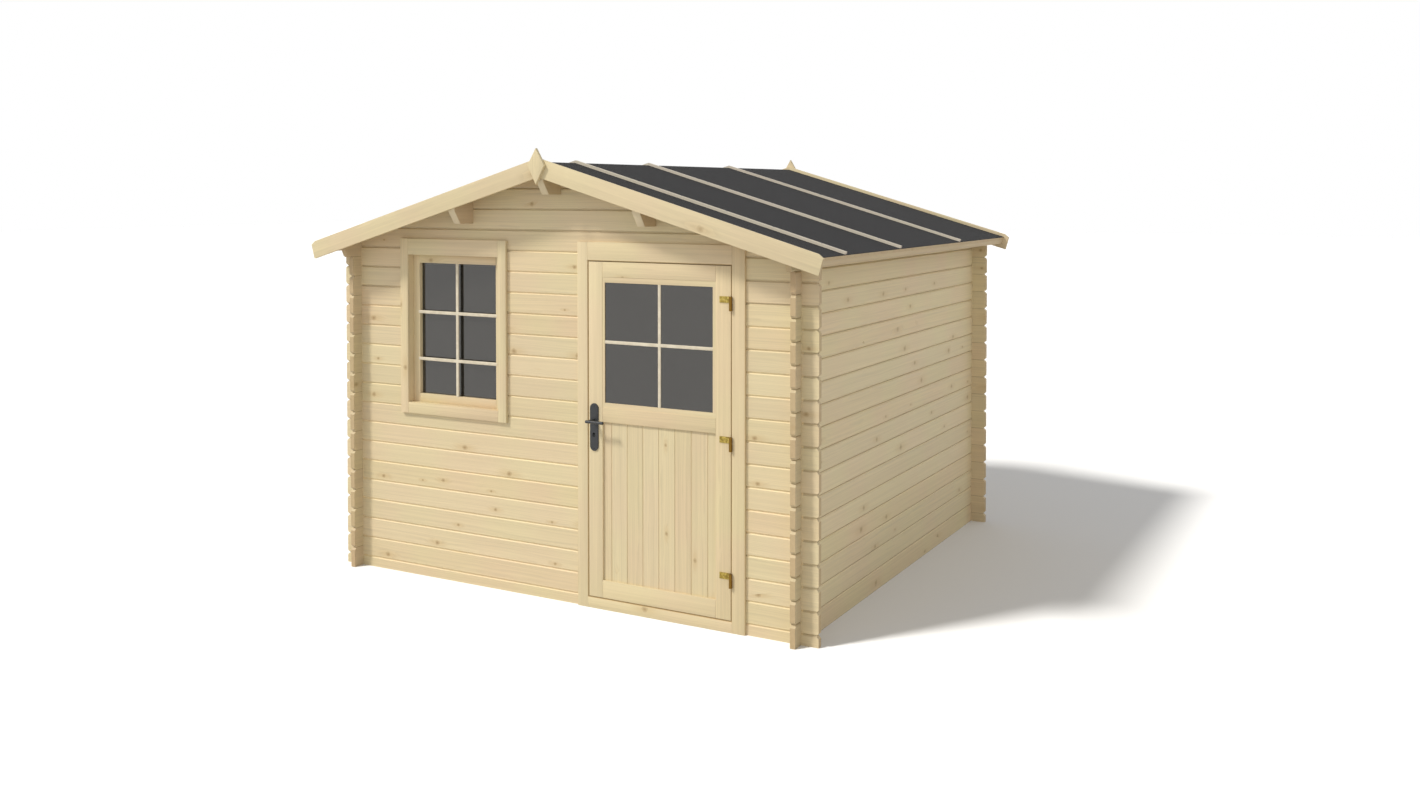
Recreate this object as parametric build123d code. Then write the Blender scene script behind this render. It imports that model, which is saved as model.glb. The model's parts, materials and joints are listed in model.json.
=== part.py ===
from build123d import *
import os
from math import cos, radians, sin, sqrt, tan

# Garden shed of interlocking wall boards, in millimetres.
# X runs along the front wall, Y from the front to the back, Z up.
# The origin is on the ground, under the middle of the roof.

# Wall boards
board_height = 114.0
board_thick = 28.0
joint_bevel = 7.0
end_bevel = 14.0
wall_width = 2872.0
wall_depth = 2740.0
front_log_run = 93.0
side_log_run = 69.0
full_side_rows = 16
lintel_rows = 16
window_sill_rows = 8
top_log_rise = 100.0

# Roof
roof_pitch = 16.2
deck_thick = 16.0
felt_thick = 3.0
roof_reach = 154.0
gable_overhang = 179.0
eaves_batten_size = 28.0
batten_width = 19.0
batten_thick = 14.0
batten_setback = 3.0
batten_place_shares = (0.110, 0.359, 0.694)

# Purlins, with the slanted cut under their ends
purlin_width = 45.0
purlin_height = 141.0
ridge_purlin_height = 152.0
purlin_offset = 594.0
slant_run = 50.0
slant_rise = 70.0

# Bargeboards and finials
barge_thick = 18.0
barge_width = 97.0
barge_rise = 19.0
barge_reach = 30.0
barge_corner_run = 32.0
barge_corner_drop = 14.0
finial_width = 106.0
finial_thick = 18.0
finial_rise = 51.0
finial_shoulder_drop = 38.0
finial_tip_drop = 139.0

# Door frame
door_centre = 631.0
door_gap = 7.0
frame_proud = 14.0
frame_inner_proud = 22.0
jamb_face = 64.0
hinge_jamb_face = 72.0
jamb_slot = 24.0
head_face = 96.0
head_web = 37.0
threshold_height = 55.0
stop_lap = 10.5

# Door leaf
leaf_width = 849.0
leaf_thick = 40.0
leaf_set = 2.0
stile_width = 86.0
top_rail_height = 80.0
middle_rail_height = 78.0
bottom_rail_height = 94.0
door_glass_height = 685.0
door_glass_set = 7.0
panel_thick = 18.0
panel_board_width = 96.0
panel_bevel = 3.0
groove_depth = 10.0
glass_thick = 4.0

# Hinges
hinge_height = 72.0
knuckle_radius = 8.0
knuckle_clearance = 0.3
pin_radius = 4.5
pin_play = 0.05
pin_height = 26.0
hinge_plate_length = 58.0
hinge_plate_height = 32.0
hinge_plate_thick = 3.0
hinge_leg_length = 34.0
hinge_place_shares = (0.114, 0.499, 0.894)

# Lever handle
handle_inset = 36.0
spindle_height = 937.0
lock_spacing = 72.0
handle_plate_height = 252.0
handle_plate_width = 52.0
handle_plate_thick = 7.0
handle_plate_edge = 2.5
neck_radius = 9.0
neck_play = 0.05
lever_radius = 8.0
lever_standoff = 52.0
lever_length = 92.0
lever_heel = 18.0
lever_edge = 2.5
spindle_size = 8.0
keyhole_radius = 4.5
keyhole_slot_width = 4.0
keyhole_slot_length = 13.0

# Window
window_centre = -714.5
window_opening_width = 676.0
window_side_lap = 40.0
window_head_lap = 55.0
window_sill_lap = 35.0
window_side_web = 16.0
window_head_web = 37.0
window_sill_web = 27.0
window_proud = 18.0
window_inner_proud = 34.0
sash_set = 47.0
sash_width = 48.0
sash_glass_set = 24.0
sash_groove = 8.0

# Every cut runs past the faces it goes through by this much
overrun = 20.0

half_width = wall_width / 2
half_depth = wall_depth / 2
front_y = -half_depth
log_end_x = half_width + front_log_run
log_end_y = half_depth + side_log_run
slope = tan(radians(roof_pitch))
normal_x = sin(radians(roof_pitch))
normal_z = cos(radians(roof_pitch))
wall_top = full_side_rows * board_height + top_log_rise
roof_end_y = half_depth + gable_overhang - barge_thick
roof_end_x = half_width + roof_reach
roof_skin = deck_thick + felt_thick
half_board = board_height / 2
quarter_board = board_height / 4
lintel_height = lintel_rows * board_height + half_board
sill_height = window_sill_rows * board_height + half_board


def underside(x):
    """Height of the underside of the roof boards at a distance from the middle."""
    return wall_top + (half_width - abs(x)) * slope


def block(x0, x1, y0, y1, z0, z1):
    """Box between two corners."""
    middle = Pos((x0 + x1) / 2, (y0 + y1) / 2, (z0 + z1) / 2)
    return middle * Box(x1 - x0, y1 - y0, z1 - z0)


def prism_along_x(points, x0, x1):
    """Outline in (y, z), carried from x0 to x1."""
    face = make_face(Polyline(*points, close=True))
    return Pos(x0, 0, 0) * extrude(Plane.YZ * face, x1 - x0)


def prism_along_y(points, y0, y1):
    """Outline in (x, z), carried from y0 to y1."""
    face = make_face(Polyline(*points, close=True))
    return Pos(0, y1, 0) * extrude(Plane.XZ * face, y1 - y0)


def prism_along_z(points, z0, z1):
    """Outline in (x, y), carried from z0 to z1."""
    face = make_face(Polyline(*points, close=True))
    return Pos(0, 0, z0) * extrude(face, z1 - z0)


def rod_along_y(radius, x, z, y0, y1):
    """Round rod across the thickness of the door."""
    return Pos(x, (y0 + y1) / 2, z) * Rotation(90, 0, 0) * Cylinder(radius, y1 - y0)


def groove_along_x(x0, x1, y, z, depth):
    """Square bar on its edge, which cuts a V along a face or an end."""
    side = depth * sqrt(2)
    return Pos((x0 + x1) / 2, y, z) * Rotation(45, 0, 0) * Box(x1 - x0, side, side)


def groove_along_y(y0, y1, x, z, depth):
    side = depth * sqrt(2)
    return Pos(x, (y0 + y1) / 2, z) * Rotation(0, 45, 0) * Box(side, y1 - y0, side)


def groove_along_z(z0, z1, x, y, depth):
    side = depth * sqrt(2)
    return Pos(x, y, (z0 + z1) / 2) * Rotation(0, 0, 45) * Box(side, side, z1 - z0)


def mirrored(shape):
    """The same piece on the other side of the shed."""
    return mirror(shape, about=Plane.YZ)


# Everything above the underside of the roof boards
sky_x = wall_width
sky_z = underside(0) + wall_top
sky_outline = [
    (-sky_x, underside(sky_x)),
    (0, underside(0)),
    (sky_x, underside(sky_x)),
    (sky_x, sky_z),
    (-sky_x, sky_z),
]
sky = prism_along_y(sky_outline, -wall_depth, wall_depth)

pieces = {}


# Purlins carry the roof boards from gable to gable
def slanted_ends(x0, x1, y_end, z_low, rise):
    """The two wedges that cut the lower corners off a beam's ends."""
    wedges = []
    for way in (-1, 1):
        outline = [
            (way * (y_end + overrun), z_low - overrun),
            (way * (y_end + overrun), z_low + rise + overrun * rise / slant_run),
            (way * (y_end - slant_run - overrun * slant_run / rise), z_low - overrun),
        ]
        wedges.append(prism_along_x(outline, x0 - overrun, x1 + overrun))
    return wedges


def purlin(x, height):
    x0 = x - purlin_width / 2
    x1 = x + purlin_width / 2
    z_low = underside(x) - height
    beam = block(x0, x1, -roof_end_y, roof_end_y, z_low, underside(0))
    return beam - [sky, *slanted_ends(x0, x1, roof_end_y, z_low, slant_rise)]


pieces["ridge_purlin"] = purlin(0, ridge_purlin_height)
pieces["right_purlin"] = purlin(purlin_offset, purlin_height)
pieces["left_purlin"] = mirrored(pieces["right_purlin"])
purlins = [pieces["ridge_purlin"], pieces["right_purlin"], pieces["left_purlin"]]


# Front and back walls: their boards lie half a board lower than the side walls' boards,
# and in each corner the two walls share the height in turn, half a board each.
def front_joints(z0, z1):
    heights = [row * board_height + half_board for row in range(2 * full_side_rows)]
    return [z for z in heights if z0 <= z <= z1]


def front_boards(x0, x1, z0, z1, y0):
    """Stack of boards along X, V-jointed outside, with bevelled free ends and notched corners."""
    y1 = y0 + board_thick
    outer_y = y0 if y0 < 0 else y1
    cuts = [sky]
    for z in front_joints(z0, z1):
        cuts.append(groove_along_x(x0 - overrun, x1 + overrun, outer_y, z, joint_bevel))
        for x in (x0, x1):
            if abs(x) == log_end_x:
                cuts.append(groove_along_y(y0 - overrun, y1 + overrun, x, z, end_bevel))
    for row in range(full_side_rows + 1):
        low = row * board_height + quarter_board
        high = low + half_board
        if low < z1 and high > z0:
            right = block(half_width - board_thick, half_width, y0 - overrun, y1 + overrun, low, high)
            if x1 == log_end_x:
                cuts.append(right)
            if x0 == -log_end_x:
                cuts.append(mirrored(right))
    return block(x0, x1, y0, y1, z0, z1) - cuts


door_left = door_centre - leaf_width / 2
door_right = door_centre + leaf_width / 2
doorway_left = door_left - door_gap - jamb_face + jamb_slot
doorway_right = door_right + door_gap + hinge_jamb_face - jamb_slot
window_left = window_centre - window_opening_width / 2
window_right = window_centre + window_opening_width / 2
gable_top = underside(0)

pieces["front_wall_below_window"] = front_boards(-log_end_x, doorway_left, 0, sill_height, front_y)
pieces["front_wall_left_of_window"] = front_boards(
    -log_end_x, window_left, sill_height, lintel_height, front_y
)
pieces["front_wall_right_of_window"] = front_boards(
    window_right, doorway_left, sill_height, lintel_height, front_y
)
pieces["front_wall_right_of_door"] = front_boards(doorway_right, log_end_x, 0, lintel_height, front_y)
gable = front_boards(-log_end_x, log_end_x, lintel_height, gable_top, front_y)
pieces["front_gable"] = gable - purlins
back = front_boards(-log_end_x, log_end_x, 0, gable_top, half_depth - board_thick)
pieces["back_wall"] = back - purlins


# Side walls, and the top log of each, which runs on under the roof to the bargeboards
side_inner = half_width - board_thick
side_top = full_side_rows * board_height


def side_boards(y_end, z0, z1):
    """Stack of boards along Y on the right-hand side, V-jointed outside and notched in the corners."""
    cuts = [sky]
    for row in range(1, full_side_rows + 1):
        z = row * board_height
        cuts.append(groove_along_y(-y_end - overrun, y_end + overrun, half_width, z, joint_bevel))
    for row in range(full_side_rows + 2):
        low = row * board_height - quarter_board
        high = low + half_board
        for y in (-half_depth, half_depth - board_thick):
            corner = block(side_inner - overrun, half_width + overrun, y, y + board_thick, low, high)
            cuts.append(corner)
    return block(side_inner, half_width, -y_end, y_end, z0, z1) - cuts


end_notches = []
for row in range(1, full_side_rows):
    for y in (-log_end_y, log_end_y):
        notch_run = (side_inner - overrun, half_width + overrun)
        end_notches.append(groove_along_x(*notch_run, y, row * board_height, end_bevel))
top_slants = slanted_ends(side_inner, half_width, roof_end_y, side_top, top_log_rise)
top_log = side_boards(roof_end_y, side_top, underside(side_inner)) - top_slants
pieces["right_wall"] = side_boards(log_end_y, 0, side_top) - end_notches
pieces["left_wall"] = mirrored(pieces["right_wall"])
pieces["top_side_logs"] = Compound(children=[top_log, mirrored(top_log)])


# Roof: boards, felt and battens on two slopes that meet at the ridge
def slope_point(x, lift):
    """Point at a height square to the right-hand slope, over the underside at x."""
    return (x + lift * normal_x, underside(x) + lift * normal_z)


def ridge_point(lift):
    return (0, underside(0) + lift / normal_z)


def roof_layer(low, high, x_end, y0, y1):
    """Part of the right-hand slope from the ridge to a square-cut eave."""
    outline = [ridge_point(low), slope_point(x_end, low), slope_point(x_end, high), ridge_point(high)]
    return prism_along_y(outline, y0, y1)


pieces["roof_boards_right"] = roof_layer(0, deck_thick, roof_end_x, -roof_end_y, roof_end_y)
pieces["roof_felt_right"] = roof_layer(deck_thick, roof_skin, roof_end_x, -roof_end_y, roof_end_y)
battens = []
for share in batten_place_shares:
    y = -roof_end_y + share * 2 * roof_end_y
    batten_end = roof_end_x - batten_setback
    batten_top = roof_skin + batten_thick
    battens.append(roof_layer(roof_skin, batten_top, batten_end, y - batten_width / 2, y + batten_width / 2))
pieces["roof_battens_right"] = Compound(children=battens)

eaves_inner = roof_end_x - eaves_batten_size * normal_z
eaves_outline = [
    slope_point(eaves_inner, 0),
    slope_point(roof_end_x, 0),
    slope_point(roof_end_x, -eaves_batten_size),
    slope_point(eaves_inner, -eaves_batten_size),
]
pieces["eaves_batten_right"] = prism_along_y(eaves_outline, -roof_end_y, roof_end_y)

for name in ("roof_boards", "roof_felt", "eaves_batten"):
    pieces[name + "_left"] = mirrored(pieces[name + "_right"])
pieces["roof_battens_left"] = Compound(children=[mirrored(batten) for batten in battens])

# Bargeboards close the ends of the roof, and a finial covers the joint of each pair
barge_top = roof_skin + barge_rise
barge_low = barge_top - barge_width
barge_end = roof_end_x + barge_reach
barge_corner_end = barge_end - barge_corner_run
barge_outline = [
    ridge_point(barge_low),
    slope_point(barge_end, barge_low),
    slope_point(barge_end, barge_top - barge_corner_drop),
    slope_point(barge_corner_end, barge_top),
    ridge_point(barge_top),
]
barge_face_y = roof_end_y + barge_thick
barge_apex = ridge_point(barge_top)[1]
finial_outline = [
    (0, barge_apex - finial_tip_drop),
    (finial_width / 2, barge_apex - finial_shoulder_drop),
    (0, barge_apex + finial_rise),
    (-finial_width / 2, barge_apex - finial_shoulder_drop),
]
pieces["front_bargeboard_right"] = prism_along_y(barge_outline, -barge_face_y, -roof_end_y)
pieces["back_bargeboard_right"] = prism_along_y(barge_outline, roof_end_y, barge_face_y)
for name in ("front_bargeboard", "back_bargeboard"):
    pieces[name + "_left"] = mirrored(pieces[name + "_right"])
pieces["front_finial"] = prism_along_y(finial_outline, -barge_face_y - finial_thick, -barge_face_y)
pieces["back_finial"] = prism_along_y(finial_outline, barge_face_y, barge_face_y + finial_thick)

# Door frame: grooved posts that hold the cut ends of the boards, with a stop behind the leaf
wall_y = front_y + board_thick
frame_front = front_y - frame_proud
frame_back = wall_y + frame_inner_proud
leaf_front = frame_front + leaf_set
leaf_back = leaf_front + leaf_thick
stop_front = leaf_back + door_gap
head_low = lintel_height - head_web
head_top = head_low + head_face
leaf_top = head_low - door_gap
leaf_low = threshold_height + door_gap
frame_right = door_right + door_gap
frame_left = door_left - door_gap



def jamb(face):
    """Post on the right-hand side of the leaf; its groove holds the ends of the boards."""
    outer = frame_right + face
    groove_bottom = outer - jamb_slot
    outline = [
        (frame_right, frame_front),
        (outer, frame_front),
        (outer, front_y),
        (groove_bottom, front_y),
        (groove_bottom, wall_y),
        (outer, wall_y),
        (outer, frame_back),
        (frame_right - stop_lap, frame_back),
        (frame_right - stop_lap, stop_front),
        (frame_right, stop_front),
    ]
    over_lintel = block(frame_left, outer + overrun, front_y, wall_y, lintel_height, head_top + overrun)
    return prism_along_z(outline, 0, head_top) - over_lintel


right_jamb = jamb(hinge_jamb_face)
left_jamb = mirror(jamb(jamb_face), about=Plane.YZ.offset(door_centre))

head_outline = [
    (frame_front, head_low),
    (frame_front, head_top),
    (front_y, head_top),
    (front_y, lintel_height),
    (wall_y, lintel_height),
    (wall_y, head_top),
    (frame_back, head_top),
    (frame_back, head_low - stop_lap),
    (stop_front, head_low - stop_lap),
    (stop_front, head_low),
]
threshold_outline = [
    (frame_front, 0),
    (frame_front, threshold_height),
    (stop_front, threshold_height),
    (stop_front, threshold_height + stop_lap),
    (frame_back, threshold_height + stop_lap),
    (frame_back, 0),
]
pieces["door_head"] = prism_along_x(head_outline, frame_left, frame_right) - [left_jamb, right_jamb]
pieces["door_threshold"] = prism_along_x(threshold_outline, frame_left, frame_right) - [left_jamb, right_jamb]

# Door leaf: a panel of upright boards and a pane of glass, held in grooves of the stiles and rails
stile_left = door_left + stile_width
stile_right = door_right - stile_width
leaf_middle = (leaf_front + leaf_back) / 2
glass_top = leaf_top - top_rail_height
glass_low = glass_top - door_glass_height
panel_top = glass_low - middle_rail_height
panel_low = leaf_low + bottom_rail_height
panel_front = leaf_middle - panel_thick / 2
panel_back = leaf_middle + panel_thick / 2


def grooved_in(y0, y1, z0, z1):
    """Sheet that reaches into the grooves round an opening of the leaf."""
    return block(
        stile_left - groove_depth, stile_right + groove_depth, y0, y1, z0 - groove_depth, z1 + groove_depth
    )


door_glass_front = leaf_front + door_glass_set
door_glass = grooved_in(door_glass_front, door_glass_front + glass_thick, glass_low, glass_top)
door_panel_sheet = grooved_in(panel_front, panel_back, panel_low, panel_top)
panel_joints = int((stile_right - stile_left) / 2 / panel_board_width)
panel_grooves = []
for number in range(-panel_joints, panel_joints + 1):
    x = door_centre + number * panel_board_width
    for y in (panel_front, panel_back):
        panel_grooves.append(groove_along_z(0, leaf_top, x, y, panel_bevel))
pieces["door_glass"] = door_glass
pieces["door_panel"] = door_panel_sheet - panel_grooves

spindle_x = door_left + handle_inset
spindle_z = leaf_low + spindle_height
plate_z = spindle_z - lock_spacing / 2
bore = rod_along_y(neck_radius + neck_play, spindle_x, spindle_z, frame_front - overrun, frame_back + overrun)
lock_stile = block(door_left, stile_left, leaf_front, leaf_back, leaf_low, leaf_top)
hinge_stile = block(stile_right, door_right, leaf_front, leaf_back, leaf_low, leaf_top)
pieces["door_lock_stile"] = lock_stile - [door_glass, door_panel_sheet, bore]
pieces["door_hinge_stile"] = hinge_stile - [door_glass, door_panel_sheet]
rails = []
for z0, z1 in ((leaf_low, panel_low), (panel_top, glass_low), (glass_top, leaf_top)):
    rail = block(stile_left, stile_right, leaf_front, leaf_back, z0, z1)
    rails.append(rail - [door_glass, door_panel_sheet])
pieces["door_rails"] = Compound(children=rails)

# Lift-off hinges: the upper knuckle and its plate go with the leaf,
# and the lower knuckle, its pin and its leg let into the jamb stay
hinge_x = door_right + door_gap / 2
hinge_y = frame_front - knuckle_radius - knuckle_clearance
hinge_leaves = []
hinge_pins = []
for share in hinge_place_shares:
    z = leaf_low + share * (leaf_top - leaf_low)
    z_low = z - hinge_height / 2
    z_high = z + hinge_height / 2
    axis = Pos(hinge_x, hinge_y, 0)
    knuckle = axis * Pos(0, 0, (z + z_high) / 2) * Cylinder(knuckle_radius, z_high - z)
    plate_low = z_high - hinge_plate_height
    plate_left = hinge_x - knuckle_radius - hinge_plate_length
    plate = block(plate_left, door_right, leaf_front - hinge_plate_thick, leaf_front, plate_low, z_high)
    web = block(hinge_x - knuckle_radius, door_right, hinge_y, leaf_front, plate_low, z_high)
    pin_top = z + pin_height
    socket = axis * Pos(0, 0, (z + pin_top) / 2) * Cylinder(pin_radius + pin_play, pin_height)
    hinge_leaves.append(knuckle + plate + web - socket)
    lower_top = z - pin_play
    lower = axis * Pos(0, 0, (z_low + lower_top) / 2) * Cylinder(knuckle_radius, lower_top - z_low)
    pin_end = pin_top - pin_play
    pin = axis * Pos(0, 0, (z_low + pin_end) / 2) * Cylinder(pin_radius, pin_end - z_low)
    leg_right = frame_right + hinge_plate_thick
    leg = block(frame_right, leg_right, hinge_y, frame_front + hinge_leg_length, z_low, lower_top)
    hinge_pins.append(lower + pin + leg)
pieces["hinge_leaves"] = Compound(children=hinge_leaves)
pieces["hinge_pins"] = Compound(children=hinge_pins)
pieces["door_right_jamb"] = right_jamb - hinge_pins
pieces["door_left_jamb"] = left_jamb

# Lever handle: a long plate on each face, and two levers on one spindle
keyhole_z = spindle_z - lock_spacing
keyhole_foot = keyhole_z - keyhole_slot_length
keyhole_cuts = [
    bore,
    rod_along_y(keyhole_radius, spindle_x, keyhole_z, frame_front - overrun, frame_back + overrun),
    block(
        spindle_x - keyhole_slot_width / 2, spindle_x + keyhole_slot_width / 2,
        frame_front - overrun, frame_back + overrun, keyhole_foot, keyhole_z,
    ),
]


def handle_plate(y_face, way):
    """Round-ended plate that lies on one face of the leaf."""
    outline = SlotOverall(handle_plate_height, handle_plate_width, rotation=90)
    plate = extrude(Plane.XZ * outline, handle_plate_thick)
    plate = chamfer(plate.faces().sort_by(Axis.Y)[0].edges(), handle_plate_edge)
    if way > 0:
        plate = mirror(plate, about=Plane.XZ)
    return Pos(spindle_x, y_face, plate_z) * plate - keyhole_cuts


def lever(y_face, way):
    """Neck that stands off the door, and a round bar across its end."""
    y_bar = y_face + way * (handle_plate_thick + lever_standoff)
    neck = rod_along_y(neck_radius, spindle_x, spindle_z, min(y_face, y_bar), max(y_face, y_bar))
    bar = Rot(Y=90) * Cylinder(lever_radius, lever_heel + lever_length)
    bar = chamfer(bar.edges().filter_by(GeomType.CIRCLE), lever_edge)
    return neck + Pos(spindle_x + (lever_length - lever_heel) / 2, y_bar, spindle_z) * bar


pieces["handle_plates"] = Compound(children=[handle_plate(leaf_front, -1), handle_plate(leaf_back, 1)])
half_spindle = spindle_size / 2
spindle = block(
    spindle_x - half_spindle, spindle_x + half_spindle, leaf_front, leaf_back,
    spindle_z - half_spindle, spindle_z + half_spindle,
)
pieces["lever_handle"] = spindle + [lever(leaf_front, -1), lever(leaf_back, 1)]

# Window: a grooved casing like the door's, with a fixed sash set well back
casing_front = front_y - window_proud
casing_back = wall_y + window_inner_proud
sash_front = casing_front + sash_set
sash_left = window_left + window_side_web
sash_right = window_right - window_side_web
sash_low = sill_height + window_sill_web
sash_top = lintel_height - window_head_web
casing_low = sill_height - window_sill_lap
casing_top = lintel_height + window_head_lap

casing_outline = [
    (sash_right, casing_front),
    (window_right + window_side_lap, casing_front),
    (window_right + window_side_lap, front_y),
    (window_right, front_y),
    (window_right, wall_y),
    (window_right + window_side_lap, wall_y),
    (window_right + window_side_lap, casing_back),
    (sash_right, casing_back),
]
casing_run = abs(window_left) + window_side_lap + overrun
wall_over = block(-casing_run, casing_run, front_y, wall_y, lintel_height, casing_top + overrun)
wall_under = block(-casing_run, casing_run, front_y, wall_y, casing_low - overrun, sill_height)
right_casing = prism_along_z(casing_outline, casing_low, casing_top) - [wall_over, wall_under]
left_casing = mirror(right_casing, about=Plane.YZ.offset(window_centre))
pieces["window_side_casings"] = Compound(children=[left_casing, right_casing])
head_casing_outline = [
    (casing_front, sash_top),
    (casing_front, casing_top),
    (front_y, casing_top),
    (front_y, lintel_height),
    (wall_y, lintel_height),
    (wall_y, casing_top),
    (casing_back, casing_top),
    (casing_back, sash_top),
]
sill_casing_outline = [
    (casing_front, sash_low),
    (casing_front, casing_low),
    (front_y, casing_low),
    (front_y, sill_height),
    (wall_y, sill_height),
    (wall_y, casing_low),
    (casing_back, casing_low),
    (casing_back, sash_low),
]
pieces["window_head"] = prism_along_x(head_casing_outline, sash_left, sash_right)
pieces["window_sill"] = prism_along_x(sill_casing_outline, sash_left, sash_right)

pane_left = sash_left + sash_width
pane_right = sash_right - sash_width
pane_low = sash_low + sash_width
pane_top = sash_top - sash_width
pane_front = sash_front + sash_glass_set
window_glass = block(
    pane_left - sash_groove, pane_right + sash_groove,
    pane_front, pane_front + glass_thick, pane_low - sash_groove, pane_top + sash_groove,
)
pieces["window_glass"] = window_glass
pieces["window_sash_stiles"] = Compound(children=[
    block(x0, x1, sash_front, casing_back, sash_low, sash_top) - window_glass
    for x0, x1 in ((sash_left, pane_left), (pane_right, sash_right))
])
pieces["window_sash_rails"] = Compound(children=[
    block(pane_left, pane_right, sash_front, casing_back, z0, z1) - window_glass
    for z0, z1 in ((sash_low, pane_low), (pane_top, sash_top))
])

os.makedirs("parts", exist_ok=True)
for name, shape in pieces.items():
    export_step(shape, "parts/" + name + ".step")
print(len(pieces), "nodes")
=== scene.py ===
# %% [markdown]
# # A garden shed of planed spruce
#
# The shed is a small gabled hut. Its walls are tongued boards that cross at the corners, its roof is boarded
# and felted, and it has one half-glazed door and one fixed window. The solid model gives every piece its size
# and place, so this lesson never moves a piece: it adds what is too fine for the solid model and gives each
# surface its finish.

# %% Load the fixed frame
import json
import math

import bpy
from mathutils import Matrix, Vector


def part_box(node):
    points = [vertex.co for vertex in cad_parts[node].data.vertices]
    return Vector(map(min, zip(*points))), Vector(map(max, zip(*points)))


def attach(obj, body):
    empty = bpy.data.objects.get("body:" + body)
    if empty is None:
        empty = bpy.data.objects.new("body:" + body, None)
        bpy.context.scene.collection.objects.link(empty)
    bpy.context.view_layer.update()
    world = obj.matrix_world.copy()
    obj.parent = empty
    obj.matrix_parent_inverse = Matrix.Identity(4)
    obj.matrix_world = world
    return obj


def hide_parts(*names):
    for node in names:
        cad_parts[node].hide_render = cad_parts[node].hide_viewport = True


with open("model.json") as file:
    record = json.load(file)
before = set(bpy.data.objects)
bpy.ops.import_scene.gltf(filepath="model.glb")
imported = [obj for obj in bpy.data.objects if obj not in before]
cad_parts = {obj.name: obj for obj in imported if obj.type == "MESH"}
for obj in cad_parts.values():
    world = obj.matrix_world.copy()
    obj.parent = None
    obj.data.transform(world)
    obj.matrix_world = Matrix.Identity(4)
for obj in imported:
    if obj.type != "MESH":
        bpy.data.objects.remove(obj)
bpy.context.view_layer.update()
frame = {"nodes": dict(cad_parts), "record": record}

nodes = frame["nodes"]

# %% [markdown]
# ## Camera
#
# The picture was taken from the front right, a little above the eaves, with upright lines kept upright. A
# camera that looks almost level and shifts its film does that, as an architect's camera does. Turning the
# camera down instead would make the walls lean together. The focal length was worked out in pixels of the
# picture.

# %% Camera at the picture's angle
photo_width = 1420
photo_height = 799
focal_pixels = 1297.3
axis_row = 221.8
camera_turn = 0.5017
camera_tilt = 0.0248
camera_place = (4.0564, -7.0681, 2.2155)
film_width = 36

lens = bpy.data.cameras.new("camera")
lens.sensor_width = film_width
lens.lens = focal_pixels / photo_width * film_width
lens.shift_y = (axis_row - photo_height / 2) / photo_width
camera = bpy.data.objects.new("camera", lens)
camera.location = camera_place
camera.rotation_euler = (math.pi / 2 - camera_tilt, 0, camera_turn)
bpy.context.scene.collection.objects.link(camera)
bpy.context.scene.camera = camera
bpy.context.scene.view_settings.view_transform = "Standard"
print("lens", round(lens.lens, 2), "mm, shift", round(lens.shift_y, 4))

# %% [markdown]
# ## Shader sums
#
# A finish is a small calculation for every point of a surface. Blender draws it as nodes and wires, which
# soon becomes hard to read. This class wraps a wire, so that a sum written in Python adds the Math nodes by
# itself.

# %% Wires that take part in sums
class Wire:
    """A socket of a shader. Sums on it add Math nodes, and node() adds any other kind."""

    def __init__(self, socket):
        self.socket = socket

    def node(self, kind, settings, inputs, output=0):
        """Adds a node: its settings are set first, then the values or links of its sockets."""
        tree = self.socket.id_data
        made = tree.nodes.new("ShaderNode" + kind)
        for name, value in settings.items():
            setattr(made, name, value)
        for name, value in inputs.items():
            if isinstance(value, Wire):
                tree.links.new(value.socket, made.inputs[name])
            else:
                made.inputs[name].default_value = value
        return Wire(made.outputs[output])

    def out(self, name):
        """Another output of the node that this wire comes from."""
        return Wire(self.socket.node.outputs[name])

    def math(self, operation, first, second=0.0):
        return self.node("Math", {"operation": operation}, {0: first, 1: second})

    def __add__(self, other):
        return self.math("ADD", self, other)

    def __radd__(self, other):
        return self.math("ADD", other, self)

    def __sub__(self, other):
        return self.math("SUBTRACT", self, other)

    def __rsub__(self, other):
        return self.math("SUBTRACT", other, self)

    def __mul__(self, other):
        return self.math("MULTIPLY", self, other)

    def __rmul__(self, other):
        return self.math("MULTIPLY", other, self)

    def __truediv__(self, other):
        return self.math("DIVIDE", self, other)

    def __rtruediv__(self, other):
        return self.math("DIVIDE", other, self)

    def __abs__(self):
        return self.math("ABSOLUTE", self)

    def floor(self):
        return self.math("FLOOR", self)

    def fraction(self):
        return self.math("FRACT", self)

    def root(self):
        return self.math("SQRT", self)

    def above(self, limit):
        return self.math("GREATER_THAN", self, limit)

    def larger(self, other):
        return self.math("MAXIMUM", self, other)

    def smooth(self, low, high):
        """0 below low, 1 above high, and a soft step between."""
        ends = {"Value": self, "From Min": low, "From Max": high}
        return self.node("MapRange", {"interpolation_type": "SMOOTHSTEP"}, ends)

    def mix(self, first, second):
        """Goes from the first colour to the second as this wire goes from 0 to 1."""
        return self.node("Mix", {"data_type": "RGBA"}, {0: self, 6: first, 7: second}, output=2)

    def tint(self, share, colour):
        """This colour with a fixed share of another."""
        return self.node("Mix", {"data_type": "RGBA"}, {0: share, 6: self, 7: colour}, output=2)

    def dim(self, amount):
        """A colour, darker or lighter all over."""
        return self.node("VectorMath", {"operation": "SCALE"}, {0: self, "Scale": amount})

    def split(self):
        """The three numbers of a vector or a colour."""
        first = self.node("SeparateXYZ", {}, {"Vector": self})
        return first, first.out("Y"), first.out("Z")

    def vector(self, x, y, z):
        return self.node("CombineXYZ", {}, {"X": x, "Y": y, "Z": z})

    def noise(self, vector, scale=1.0, detail=2.0):
        settings = {"noise_dimensions": "3D"}
        return self.node("TexNoise", settings, {"Vector": vector, "Scale": scale, "Detail": detail})

    def bump(self, strength, distance):
        """This wire as a height, turned into a normal."""
        return self.node("Bump", {}, {"Strength": strength, "Distance": distance, "Height": self})


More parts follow.
